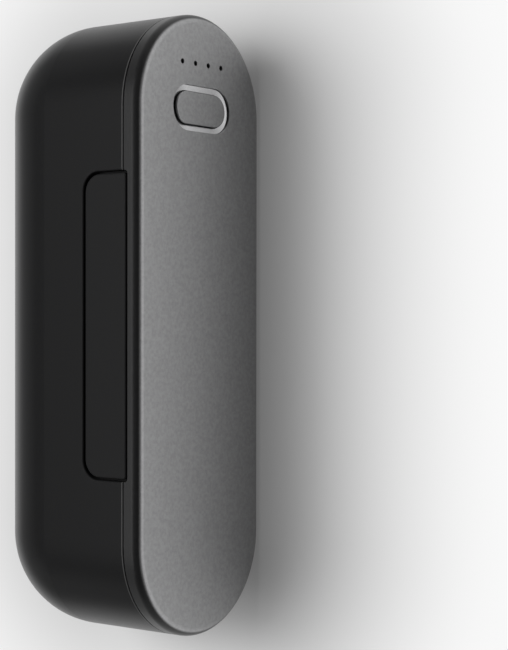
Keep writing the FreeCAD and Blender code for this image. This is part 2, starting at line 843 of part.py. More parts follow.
def make_switch():
    """Make the push switch's housing and its plunger."""
    housing = block(
        "switch_block",
        ("key_place - switch_side / 2", "key_place + switch_side / 2"),
        ("switch_front", "board_front"),
        ("0 - switch_side / 2", "switch_side / 2"),
    )
    well_end = "switch_front + plunger_sink + key_travel + plunger_floor_gap"
    well = rod(
        "switch_well", "Y", "plunger_radius + plunger_gap",
        ("switch_front - overrun", well_end), x="key_place",
    )
    finish(cut("switch", housing, [well]), "tact_switch")
    plunger = rod(
        "plunger", "Y", "plunger_radius", ("plunger_front", "switch_front + plunger_sink"), x="key_place",
    )
    finish(group("plunger_stem", [plunger]), "switch_plunger")


def make_lights():
    """Make the light guide with its pins, and the lamps behind it."""
    guide = block(
        "guide_bar",
        ("light_place - guide_width / 2", "light_place + guide_width / 2"),
        ("cap_thickness", "guide_end"),
        (f"{light_row(0)} - guide_margin", f"{light_row(LIGHT_COUNT - 1)} + guide_margin"),
    )
    pins = []
    lamps = []
    for index in range(LIGHT_COUNT):
        row = light_row(index)
        pins.append(rod(
            f"guide_pin_{index}", "Y", "light_hole_radius - light_pin_gap",
            ("light_pin_set", "cap_thickness + lamp_gap"), x="light_place", z=row,
        ))
        lamps.append(block(
            f"lamp_{index}",
            ("light_place - lamp_width / 2", "light_place + lamp_width / 2"),
            ("board_front - lamp_height", "board_front"),
            (f"{row} - lamp_length / 2", f"{row} + lamp_length / 2"),
        ))
    finish(fuse("guide", [guide] + pins), "light_guide")
    finish(group("lamps", lamps), "indicator_leds")


def screw_places():
    """List the four places of the board's screws as (name, x, z)."""
    places = []
    for end, along in (("near", "board_screw_near"), ("far", "0 - board_screw_far")):
        for side, across in (("top", "board_screw_row"), ("base", "0 - board_screw_row")):
            places.append((f"{end}_{side}", along, across))
    return places


def make_main_board():
    """Make the circuit board: round at the key's end, with socket bays and an ear for the heater."""
    body = new_body("board")
    sheet = face_sketch(body, "board_sheet", "board_front", x="(span / 2 - board_tail) / 2")
    rectangle(sheet, "span / 2 + board_tail", "2 * board_half")
    pad(body, sheet, "board_thickness", back=True)
    end = face_sketch(body, "board_end", "board_front", x="span / 2")
    circle_outline(end, "board_half")
    pad(body, end, "board_thickness", back=True)
    ear = face_sketch(body, "board_ear", "board_front", x="ear_place", z="0 - ear_end / 2")
    rectangle(ear, "ear_width", "ear_end")
    pad(body, ear, "board_thickness", back=True)
    for name in ("output", "charging"):
        bay = face_sketch(body, name + "_board_bay", "board_front", x=name + "_place", z="board_half")
        deep = f"2 * (board_half - {name}_inner + board_cut_gap)"
        rectangle(bay, f"{name}_width + 2 * board_cut_gap", deep)
        pocket(body, bay, "board_thickness + overrun")
    for name, along, across in screw_places():
        hole = face_sketch(body, f"board_hole_{name}", "board_front", x=along, z=across)
        circle_outline(hole, "board_screw_radius + head_gap")
        pocket(body, hole, "board_thickness + overrun")
    finish(body, "main_board")


def make_board_parts():
    """Make the chips, the coil and the capacitors on the back of the board."""
    chips = [
        block(
            f"chip_{index}",
            (
                f"chip_place - {index} * chip_pitch - chip_side / 2",
                f"chip_place - {index} * chip_pitch + chip_side / 2",
            ),
            ("board_back", "board_back + chip_height"),
            ("0 - chip_drop - chip_side / 2", "chip_side / 2 - chip_drop"),
        )
        for index in range(CHIP_COUNT)
    ]
    finish(group("chips", chips), "control_chips")

    body = new_body("coil")
    outline = face_sketch(body, "coil_outline", "board_back", x="coil_place", z="0 - coil_drop")
    rectangle(outline, "coil_side", "coil_side")
    pad(body, outline, "coil_height", back=True)
    corners = edges_where(body.Tip.Shape, runs_along("Y", "x", number("0 - length"), number("length")))
    ease(body, "Chamfer", corners, "Size", "coil_corner")
    finish(body, "power_inductor")

    capacitors = [
        block(
            f"capacitor_{index}",
            (
                f"capacitor_place - {index} * capacitor_pitch - capacitor_side / 2",
                f"capacitor_place - {index} * capacitor_pitch + capacitor_side / 2",
            ),
            ("board_back", "board_back + capacitor_side"),
            ("0 - capacitor_drop - capacitor_length / 2", "capacitor_length / 2 - capacitor_drop"),
        )
        for index in range(CAPACITOR_COUNT)
    ]
    finish(group("capacitors", capacitors), "board_capacitors")


def make_output_socket():
    """Make the wide output socket: a folded sheet box and the insulator with its tongue."""
    body = new_body("output_box")
    outline = sketch_on(
        body, "output_box_outline", "XY_Plane", x="output_place", y="port_axis", lift="output_inner",
    )
    rectangle(outline, "output_width", "output_height")
    pad(body, outline, "output_length")
    hollow = sketch_on(body, "output_box_hollow", "XY_Plane", x="output_place", y="port_axis", lift="mouth")
    rectangle(hollow, "output_width - 2 * socket_sheet", "output_height - 2 * socket_sheet")
    pocket(body, hollow, "output_length - socket_sheet")
    finish(body, "output_socket_shell")

    floor = "output_inner + socket_sheet + socket_fit"
    base = block(
        "output_base",
        (
            "output_place - output_width / 2 + socket_sheet + socket_fit",
            "output_place + output_width / 2 - socket_sheet - socket_fit",
        ),
        (
            "port_axis - output_height / 2 + socket_sheet + socket_fit",
            "port_axis + output_height / 2 - socket_sheet - socket_fit",
        ),
        (floor, floor + " + output_base"),
    )
    tongue = block(
        "output_tongue",
        ("output_place - output_tongue_width / 2", "output_place + output_tongue_width / 2"),
        (
            "port_axis + output_tongue_shift - output_tongue_thickness / 2",
            "port_axis + output_tongue_shift + output_tongue_thickness / 2",
        ),
        (floor, "mouth - output_tongue_set"),
    )
    finish(fuse("output_insulator", [base, tongue]), "output_socket_tongue")


def make_charging_socket():
    """Make the small charging socket: a drawn oval shell and the insulator with its tongue."""
    body = new_body("charging_box")
    outline = sketch_on(
        body, "charging_box_outline", "XY_Plane", x="charging_place", y="port_axis", lift="charging_inner",
    )
    stadium(outline, "charging_width - charging_height", "charging_height / 2")
    pad(body, outline, "charging_length")
    hollow = sketch_on(
        body, "charging_box_hollow", "XY_Plane", x="charging_place", y="port_axis", lift="mouth",
    )
    stadium(hollow, "charging_width - charging_height", "charging_height / 2 - socket_sheet")
    pocket(body, hollow, "charging_length - socket_sheet")
    finish(body, "charging_socket_shell")

    insulator = new_body("charging_insulator")
    floor = "charging_inner + socket_sheet + socket_fit"
    base = sketch_on(
        insulator, "charging_insulator_base", "XY_Plane", x="charging_place", y="port_axis", lift=floor,
    )
    stadium(base, "charging_width - charging_height", "charging_height / 2 - socket_sheet - socket_fit")
    pad(insulator, base, "charging_base")
    tongue = sketch_on(
        insulator, "charging_insulator_tongue", "XY_Plane", x="charging_place", y="port_axis", lift=floor,
    )
    rectangle(tongue, "charging_tongue_width", "charging_tongue_thickness")
    pad(insulator, tongue, f"mouth - charging_tongue_set - ({floor})")
    finish(insulator, "charging_socket_tongue")


def make_cell():
    """Make the lithium cell: can, wound core, crimp gasket, raised terminal and sleeve."""
    can = rod("can_outside", "X", "can_radius", ("0 - cell_length / 2", "can_end"), y="cell_axis")
    hollow = rod(
        "can_inside", "X", "can_bore", ("can_base - cell_length / 2", "can_end + overrun"), y="cell_axis",
    )
    finish(cut("can", can, [hollow]), "cell_can")

    core = rod(
        "core_roll", "X", "can_bore - nest_gap",
        ("can_base + nest_gap - cell_length / 2", "can_end - crimp_height - nest_gap"), y="cell_axis",
    )
    finish(group("core", [core]), "cell_core")

    gasket = rod(
        "gasket_outside", "X", "can_bore - nest_gap", ("can_end - crimp_height", "can_end"), y="cell_axis",
    )
    bore = rod(
        "gasket_bore", "X", "can_bore - nest_gap - crimp_width",
        ("can_end - crimp_height - overrun", "can_end + overrun"), y="cell_axis",
    )
    finish(cut("gasket", gasket, [bore]), "cell_gasket")

    disc = rod(
        "terminal_disc", "X", "can_bore - 2 * nest_gap - crimp_width",
        ("can_end - terminal_thickness", "can_end"), y="cell_axis",
    )
    nub = rod(
        "terminal_nub", "X", "terminal_radius",
        ("can_end - terminal_thickness", "cell_length / 2"), y="cell_axis",
    )
    finish(fuse("terminal", [disc, nub]), "cell_terminal")

    sleeve = rod(
        "sleeve_outside", "X", "cell_diameter / 2", ("0 - cell_length / 2", "can_end"), y="cell_axis",
    )
    inside = rod(
        "sleeve_inside", "X", "can_radius + nest_gap",
        ("0 - cell_length / 2 - overrun", "can_end + overrun"), y="cell_axis",
    )
    finish(cut("sleeve", sleeve, [inside]), "cell_sleeve")


def make_strips():
    """Make the two welded strips that carry the cell's current to the board."""
    across = ("0 - strip_width / 2", "strip_width / 2")
    run = ("board_back", "cell_axis + strip_weld")
    foot = ("board_back", "board_back + strip_thickness")
    end = "cell_length / 2"
    parts = [
        block("positive_run", (end, f"{end} + strip_thickness"), run, across),
        block("positive_foot", (f"{end} - strip_foot", f"{end} + strip_thickness"), foot, across),
    ]
    finish(fuse("positive", parts), "positive_strip")
    parts = [
        block("negative_run", (f"0 - {end} - strip_thickness", f"0 - {end}"), run, across),
        block("negative_foot", (f"0 - {end} - strip_thickness", "strip_lap - board_tail"), foot, across),
    ]
    finish(fuse("negative", parts), "negative_strip")


def make_inner_frame():
    """Make the frame that holds the cell behind the board."""
    body = new_body("frame_blank")
    outline = face_sketch(body, "frame_outline", "board_back")
    stadium(outline, "span", "board_half")
    pad(body, outline, "frame_depth", back=True)
    tools = [
        rod("frame_bore", "X", "bore_radius", ("0 - bore_half", "bore_half"), y="cell_axis"),
        block(
            "frame_window",
            ("0 - bore_half", "bore_half"),
            ("board_back - overrun", "board_back + window_depth"),
            ("0 - rail_inner", "rail_inner"),
        ),
    ]
    for end, reach in (
        ("near", ("bore_half + frame_stop", "length / 2")),
        ("far", ("0 - length / 2", "0 - bore_half - frame_stop")),
    ):
        tools.append(block(
            f"frame_end_{end}",
            reach,
            ("frame_plate_end", "frame_end + overrun"),
            ("0 - half_width", "half_width"),
        ))
    for name in ("output", "charging"):
        tools.append(block(
            f"{name}_frame_bay",
            (
                f"{name}_place - {name}_width / 2 - board_cut_gap",
                f"{name}_place + {name}_width / 2 + board_cut_gap",
            ),
            ("board_back - overrun", f"port_axis + {name}_height / 2 + bay_gap"),
            (f"{name}_inner - board_cut_gap", "half_width"),
        ))
    for side, sign in (("near", ""), ("far", "0 - ")):
        place = f"{sign}boss_place"
        tools.append(rod(
            f"frame_hole_{side}", "Y", "frame_screw_radius + head_gap",
            ("board_back - overrun", "frame_plate_end + overrun"), x=place,
        ))
        tools.append(rod(
            f"frame_sink_{side}", "Y", "frame_head_radius + head_gap",
            ("board_back - overrun", "board_back + frame_head_height"), x=place,
        ))
    for name, along, across in screw_places():
        tools.append(rod(
            f"frame_pilot_{name}", "Y", "board_screw_radius + thread_gap",
            ("board_back - overrun", "board_front + board_screw_length + pilot_spare"), x=along, z=across,
        ))
    finish(cut("frame", body, tools), "inner_frame")


def screw(name, head_start, head, shank, tip, along, across):
    """Make one screw from its head's (radius, height), shank radius and tip, with a round drive socket."""
    head_radius, head_height = head
    seat = f"{head_start} + {head_height}"
    solid = fuse(name + "_solid", [
        rod(name + "_head", "Y", head_radius, (head_start, seat), x=along, z=across),
        rod(name + "_shank", "Y", shank, (head_start, tip), x=along, z=across),
    ])
    drive = rod(
        name + "_drive", "Y", "drive_radius", (f"{head_start} - overrun", f"{head_start} + drive_depth"),
        x=along, z=across,
    )
    return cut(name, solid, [drive])


def make_screws():
    """Make the two screws that hold the frame and the four that hold the board."""
    frame_screws = [
        screw(
            f"frame_screw_{side}", "board_back", ("frame_head_radius", "frame_head_height"),
            "frame_screw_radius", "board_back + frame_head_height + frame_screw_length",
            f"{sign}boss_place", "0",
        )
        for side, sign in (("near", ""), ("far", "0 - "))
    ]
    finish(group("frame_screw_set", frame_screws), "frame_screws")
    board_screws = [
        screw(
            f"board_screw_{name}", "board_front - board_head_height",
            ("board_head_radius", "board_head_height"),
            "board_screw_radius", "board_front + board_screw_length", along, across,
        )
        for name, along, across in screw_places()
    ]
    finish(group("board_screw_set", board_screws), "board_screws")


def round_ended_sheet(name, front, thickness, radius, end):
    """Make a sheet on the cap's inner side: round at the far end, square before the key."""
    body = new_body(name)
    sheet = face_sketch(body, name + "_sheet", front, x=f"({end} - span / 2) / 2")
    rectangle(sheet, f"{end} + span / 2", f"2 * ({radius})")
    pad(body, sheet, thickness, back=True)
    cap = face_sketch(body, name + "_round", front, x="0 - span / 2")
    circle_outline(cap, radius)
    pad(body, cap, thickness, back=True)
    return body


def make_front_heater():
    """Make the heating film on the cap, its insulation, its two leads and the temperature sensor."""
    film = round_ended_sheet(
        "film", "cap_thickness", "heater_thickness", "lip_inner - heater_edge", "heater_end",
    )
    finish(film, "front_heater")
    foam = round_ended_sheet(
        "foam", "heater_back", "insulation_thickness", "lip_inner - heater_edge - insulation_edge",
        "heater_end - lead_room",
    )
    finish(foam, "front_insulation")
    leads = [
        rod(
            f"lead_{side}", "Y", "lead_radius", ("heater_back", "board_front"),
            x="heater_end - lead_inset", z=f"{sign}lead_spread",
        )
        for side, sign in (("top", ""), ("base", "0 - "))
    ]
    finish(group("leads", leads), "front_heater_leads")

    bead_axis = "heater_back + film_gap + sensor_radius"
    across = "0 - sensor_drop"
    sensor = [rod(
        "sensor_bead", "Z", "sensor_radius",
        (f"{across} - sensor_length / 2", f"{across} + sensor_length / 2"),
        x="heater_end - lead_inset", y=bead_axis,
    )]
    for side, sign in (("top", "+"), ("base", "-")):
        sensor.append(rod(
            f"sensor_leg_{side}", "Y", "sensor_leg_radius", (bead_axis, "board_front"),
            x="heater_end - lead_inset", z=f"{across} {sign} sensor_leg_spread",
        ))
    finish(fuse("sensor", sensor), "temperature_sensor")


def make_back_heater():
    """Make the heating film inside the round back, with the tail that reaches the board's ear."""
    reach = ("heater_margin - span / 2", "span / 2 - heater_margin")
    outer = rod("back_film_outside", "X", "film_outer", reach, y="round_axis")
    inner = rod(
        "back_film_inside", "X", "film_inner",
        (f"{reach[0]} - overrun", f"{reach[1]} + overrun"), y="round_axis",
    )
    half = block("back_film_half", reach, ("round_axis", "depth"), ("0 - half_width", "half_width"))
    curve = common("back_film_curve", [cut("back_film_tube", outer, [inner]), half])
    tail = block(
        "back_film_tail",
        ("ear_place - tail_width / 2", "ear_place + tail_width / 2"),
        ("board_front", "round_axis"),
        ("0 - film_outer", "0 - film_inner"),
    )
    finish(fuse("back_film", [curve, tail]), "back_heater")


def make_cell_pads():
    """Make the two soft pads between the cell and the back heater."""
    pads = []
    for side, sign in (("near", ""), ("far", "0 - ")):
        reach = (f"{sign}pad_place - pad_length / 2", f"{sign}pad_place + pad_length / 2")
        outer = rod(f"pad_outside_{side}", "X", "film_inner - film_gap", reach, y="round_axis")
        seat = block(
            f"pad_seat_{side}", reach,
            ("cell_axis + pad_start", "depth"), ("0 - pad_half_width", "pad_half_width"),
        )
        bed = rod(
            f"pad_bed_{side}", "X", "cell_diameter / 2 + film_gap",
            (f"{reach[0]} - overrun", f"{reach[1]} + overrun"), y="cell_axis",
        )
        pads.append(cut(f"pad_{side}", common(f"pad_form_{side}", [outer, seat]), [bed]))
    finish(group("pads", pads), "cell_pads")


def check_document():
    """Stop if any object failed or any piece has no valid shape."""
    DOC.recompute()
    failed = [thing.Label for thing in DOC.Objects if {"Invalid", "Error"} & set(thing.State)]
    bad = [piece.Label for piece in PIECES if piece.Shape.isNull() or not piece.Shape.isValid()]
    empty = [piece.Label for piece in PIECES if not piece.Shape.Solids]
    if failed or bad or empty:
        raise RuntimeError(f"failed {failed}, not valid {bad}, no solid {empty}")


def write_parts():
    """Write each piece to its own file."""
    os.makedirs("parts", exist_ok=True)
    for piece in PIECES:
        piece.Shape.exportStep(f"parts/{piece.Label}.step")
        box = piece.Shape.optimalBoundingBox(False)
        reach = f"x {box.XMin:.2f}..{box.XMax:.2f} y {box.YMin:.2f}..{box.YMax:.2f}"
        print(f"{piece.Label}: {len(piece.Shape.Solids)} solid(s), {piece.Shape.Volume:.1f} mm3, "
              f"{reach} z {box.ZMin:.2f}..{box.ZMax:.2f}")


fill_sheet()
make_back_shell()
make_front_cap()
make_cap_seal()
make_port_cover()
make_cover_root()
make_power_key()
make_trim_ring()
make_switch()
make_lights()
make_main_board()
make_board_parts()
make_output_socket()
make_charging_socket()
make_cell()
make_strips()
make_inner_frame()
make_screws()
make_front_heater()
make_back_heater()
make_cell_pads()
check_document()
write_parts()
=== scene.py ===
"""Looks of a rechargeable hand warmer: finishes for its nodes, small pieces and the studio around it."""
import json
import logging
import math
from dataclasses import dataclass, replace
from enum import Enum

import bmesh
import bpy
from mathutils import Matrix, Vector


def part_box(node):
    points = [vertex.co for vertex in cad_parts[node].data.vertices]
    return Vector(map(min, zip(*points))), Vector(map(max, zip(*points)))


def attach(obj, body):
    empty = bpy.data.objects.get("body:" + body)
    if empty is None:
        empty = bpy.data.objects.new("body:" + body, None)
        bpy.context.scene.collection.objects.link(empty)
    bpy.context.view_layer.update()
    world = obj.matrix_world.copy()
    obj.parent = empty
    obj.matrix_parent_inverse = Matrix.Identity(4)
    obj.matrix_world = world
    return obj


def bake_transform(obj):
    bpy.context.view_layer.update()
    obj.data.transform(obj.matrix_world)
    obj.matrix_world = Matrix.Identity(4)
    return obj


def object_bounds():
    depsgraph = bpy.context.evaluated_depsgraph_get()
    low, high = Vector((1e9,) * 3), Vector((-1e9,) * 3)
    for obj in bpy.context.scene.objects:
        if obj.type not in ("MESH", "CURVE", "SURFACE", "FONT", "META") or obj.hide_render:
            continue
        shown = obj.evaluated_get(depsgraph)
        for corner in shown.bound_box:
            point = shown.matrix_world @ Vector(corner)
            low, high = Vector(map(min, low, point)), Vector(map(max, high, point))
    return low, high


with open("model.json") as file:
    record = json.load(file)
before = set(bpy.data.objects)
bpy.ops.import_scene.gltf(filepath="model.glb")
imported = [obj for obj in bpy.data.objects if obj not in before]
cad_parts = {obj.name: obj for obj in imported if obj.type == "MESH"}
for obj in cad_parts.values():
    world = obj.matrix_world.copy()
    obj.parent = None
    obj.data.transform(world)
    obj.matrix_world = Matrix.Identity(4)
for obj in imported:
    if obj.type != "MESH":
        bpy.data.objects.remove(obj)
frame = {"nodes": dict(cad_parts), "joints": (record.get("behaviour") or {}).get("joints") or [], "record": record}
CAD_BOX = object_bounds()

LOG = logging.getLogger("hand_warmer")
MM = 0.001
# The wave texture repeats after this length at a scale of one.
WAVE_LENGTH = math.pi / 10
# Faces that meet at more than this angle keep a sharp edge.
SHARP_ANGLE = math.radians(35)
QUARTER_TURN = math.radians(90)
# The noise under every grain: its octaves, how much each adds, and the values taken as its ends.
NOISE_DETAIL = 3.0
NOISE_ROUGHNESS = 0.6
NOISE_ENDS = (0.35, 0.65)
# Where in a wave a pattern's line starts and where it has its full colour.
LINE_EDGES = (0.45, 0.55)

Colour = tuple[float, float, float]
Point = tuple[float, float, float]
Span = tuple[float, float]


class Body(Enum):
    """The rigid bodies that pieces ride on."""

    CASING = "casing"
    COVER = "cover"


class Pattern(Enum):
    """Lines that a finish draws over its colour."""

    NONE = "none"
    TRACE = "trace"
    WINDING = "winding"


@dataclass(frozen=True)
class Grain:
    """Fine change over a surface.

    Attributes:
        size: width of one speck, in metres.
        tone: share by which the colour changes.
        gloss: how much the roughness changes.
        relief: height of the specks, in metres.
        stretch: how much finer the specks are along each axis.
    """

    size: float
    tone: float
    gloss: float
    relief: float
    stretch: Point = (1.0, 1.0, 1.0)


FINE = Grain(0.25 * MM, 0.05, 0.02, 0.002 * MM)
SATIN = Grain(0.3 * MM, 0.06, 0.02, 0.002 * MM)
BLASTED = Grain(0.5 * MM, 0.085, 0.015, 0.002 * MM)
BRUSHED = Grain(0.3 * MM, 0.06, 0.05, 0.002 * MM, (0.05, 1.0, 1.0))
FOAMED = Grain(0.5 * MM, 0.2, 0.04, 0.05 * MM)


@dataclass(frozen=True)
class FrontZone:
    """A zone with a colour of its own at the front of a node.

    Attributes:
        node: the node whose front it starts from.
        colour: linear base colour.
        roughness: mean roughness.
        metal: whether the zone alone is bare metal.
        depth: how far it reaches behind the front, in metres.
        fade: length of the change to the main colour, in metres.
        start: how far behind the front it starts, in metres.
    """

    node: str
    colour: Colour
    roughness: float
    metal: bool
    depth: float
    fade: float
    start: float = -1.0 * MM


def math_node(
    tree: bpy.types.NodeTree,
    operation: str,
    *values: bpy.types.NodeSocket | Point | float,
    vector: bool = False,
) -> bpy.types.NodeSocket:
    """Add a math node and feed it.

    Args:
        tree: the node tree that it is part of.
        operation: what it does.
        values: sockets or constants, in the order of its inputs.
        vector: whether it works on vectors.

    Returns:
        The socket with its result.
    """
    node = tree.nodes.new("ShaderNodeVectorMath" if vector else "ShaderNodeMath")
    node.operation = operation
    for socket, value in zip(node.inputs, values):
        if isinstance(value, bpy.types.NodeSocket):
            tree.links.new(value, socket)
        else:
            socket.default_value = value
    return next(socket for socket in node.outputs if socket.enabled)


def ramp_node(
    tree: bpy.types.NodeTree, value: bpy.types.NodeSocket, span: Span, shares: Span,
) -> bpy.types.NodeSocket:
    """Map a distance smoothly to a share.

    Args:
        tree: the node tree that it is part of.
        value: the distance.
        span: the distances where the change starts and ends.
        shares: the shares there.

    Returns:
        The socket with the share.
    """
    node = tree.nodes.new("ShaderNodeMapRange")
    node.interpolation_type = "SMOOTHSTEP"
    node.inputs["From Min"].default_value, node.inputs["From Max"].default_value = span
    node.inputs["To Min"].default_value, node.inputs["To Max"].default_value = shares
    tree.links.new(value, node.inputs["Value"])
    return node.outputs["Result"]


class DetailGroup:
    """Shader node groups that several finishes share, each built on first use."""

    @staticmethod
    def start(
        name: str, inputs: dict[str, str], outputs: dict[str, str],
    ) -> tuple[bpy.types.NodeTree, bpy.types.Node, bpy.types.Node]:
        """Start a group with named sockets.

        Args:
            name: name of the group.
            inputs: type of each input socket, by name.
            outputs: type of each output socket, by name.

        Returns:
            The group, its input node and its output node.
        """
        group = bpy.data.node_groups.new(name, "ShaderNodeTree")
        for way, sockets in (("INPUT", inputs), ("OUTPUT", outputs)):
            for label, kind in sockets.items():
                group.interface.new_socket(name=label, in_out=way, socket_type="NodeSocket" + kind)
        return group, group.nodes.new("NodeGroupInput"), group.nodes.new("NodeGroupOutput")

    @classmethod
    def grain(cls) -> bpy.types.NodeTree:
        """Give the group that varies colour, roughness and height by fine specks.

        Returns:
            The node group.
        """
        made = bpy.data.node_groups.get("surface_grain")
        if made:
            return made
        group, given, result = cls.start(
            "surface_grain",
            {
                "Colour": "Color", "Roughness": "Float", "Scale": "Float",
                "Stretch": "Vector", "Tone": "Float", "Gloss": "Float",
            },
            {"Colour": "Color", "Roughness": "Float", "Height": "Float"},
        )
        nodes, links = group.nodes, group.links
        place = nodes.new("ShaderNodeTexCoord")
        spread = nodes.new("ShaderNodeVectorMath")
        spread.operation = "MULTIPLY"
        noise = nodes.new("ShaderNodeTexNoise")
        noise.inputs["Detail"].default_value = NOISE_DETAIL
        noise.inputs["Roughness"].default_value = NOISE_ROUGHNESS
        swing = nodes.new("ShaderNodeMapRange")
        swing.inputs["From Min"].default_value, swing.inputs["From Max"].default_value = NOISE_ENDS
        swing.inputs["To Min"].default_value = -1.0
        shade = nodes.new("ShaderNodeMath")
        shade.operation = "MULTIPLY_ADD"
        shade.inputs[2].default_value = 1.0
        tint = nodes.new("ShaderNodeVectorMath")
        tint.operation = "SCALE"
        rough = nodes.new("ShaderNodeMath")
        rough.operation = "MULTIPLY_ADD"
        links.new(place.outputs["Object"], spread.inputs[0])
        links.new(given.outputs["Stretch"], spread.inputs[1])
        links.new(spread.outputs["Vector"], noise.inputs["Vector"])
        links.new(given.outputs["Scale"], noise.inputs["Scale"])
        links.new(noise.outputs["Fac"], swing.inputs["Value"])
        links.new(swing.outputs["Result"], shade.inputs[0])
        links.new(given.outputs["Tone"], shade.inputs[1])
        links.new(given.outputs["Colour"], tint.inputs[0])
        links.new(shade.outputs["Value"], tint.inputs["Scale"])
        links.new(swing.outputs["Result"], rough.inputs[0])
        links.new(given.outputs["Gloss"], rough.inputs[1])
        links.new(given.outputs["Roughness"], rough.inputs[2])
        links.new(tint.outputs["Vector"], result.inputs["Colour"])
        links.new(rough.outputs["Value"], result.inputs["Roughness"])
        links.new(noise.outputs["Fac"], result.inputs["Height"])
        return group

    @classmethod
    def front_zone(cls) -> bpy.types.NodeTree:
        """Give the group that masks a zone at the front of a node.

        Returns:
            The node group.
        """
        made = bpy.data.node_groups.get("front_zone")
        if made:
            return made
        group, given, result = cls.start(
            "front_zone", {"Start": "Float", "Edge": "Float", "End": "Float"}, {"Mask": "Float"},
        )
        nodes, links = group.nodes, group.links
        place = nodes.new("ShaderNodeTexCoord")
        axes = nodes.new("ShaderNodeSeparateXYZ")
        ramp = nodes.new("ShaderNodeMapRange")
        ramp.interpolation_type = "SMOOTHSTEP"
        ramp.inputs["To Min"].default_value = 1.0
        ramp.inputs["To Max"].default_value = 0.0
        links.new(place.outputs["Object"], axes.inputs["Vector"])
        links.new(axes.outputs["Y"], ramp.inputs["Value"])
        links.new(given.outputs["Edge"], ramp.inputs["From Min"])
        links.new(given.outputs["End"], ramp.inputs["From Max"])
        behind = math_node(group, "GREATER_THAN", axes.outputs["Y"], given.outputs["Start"])
        links.new(math_node(group, "MULTIPLY", ramp.outputs["Result"], behind), result.inputs["Mask"])
        return group

    @classmethod
    def lines(cls, pattern: Pattern) -> bpy.types.NodeTree:
        """Give the group that draws a pattern's lines over a ground colour.

        Args:
            pattern: straight traces across the bar, or the rings of a winding about its axis.

        Returns:
            The node group.
        """
        name = pattern.value + "_lines"
        made = bpy.data.node_groups.get(name)
        if made:
            return made
        group, given, result = cls.start(
            name, {"Ground": "Color", "Line": "Color", "Scale": "Float"}, {"Colour": "Color"},
        )
        nodes, links = group.nodes, group.links
        place = nodes.new("ShaderNodeTexCoord")
        wave = nodes.new("ShaderNodeTexWave")
        wave.wave_type = "BANDS" if pattern is Pattern.TRACE else "RINGS"
        wave.bands_direction = "X"
        wave.rings_direction = "X"
        ramp = nodes.new("ShaderNodeValToRGB")
        for element, position in zip(ramp.color_ramp.elements, LINE_EDGES):
            element.position = position
        mix = nodes.new("ShaderNodeMix")
        mix.data_type = "RGBA"
        links.new(place.outputs["Object"], wave.inputs["Vector"])
        links.new(given.outputs["Scale"], wave.inputs["Scale"])
        links.new(wave.outputs["Fac"], ramp.inputs["Fac"])
        links.new(ramp.outputs["Color"], mix.inputs["Factor"])
        links.new(given.outputs["Ground"], mix.inputs["A"])
        links.new(given.outputs["Line"], mix.inputs["B"])
        links.new(mix.outputs["Result"], result.inputs["Colour"])
        return group


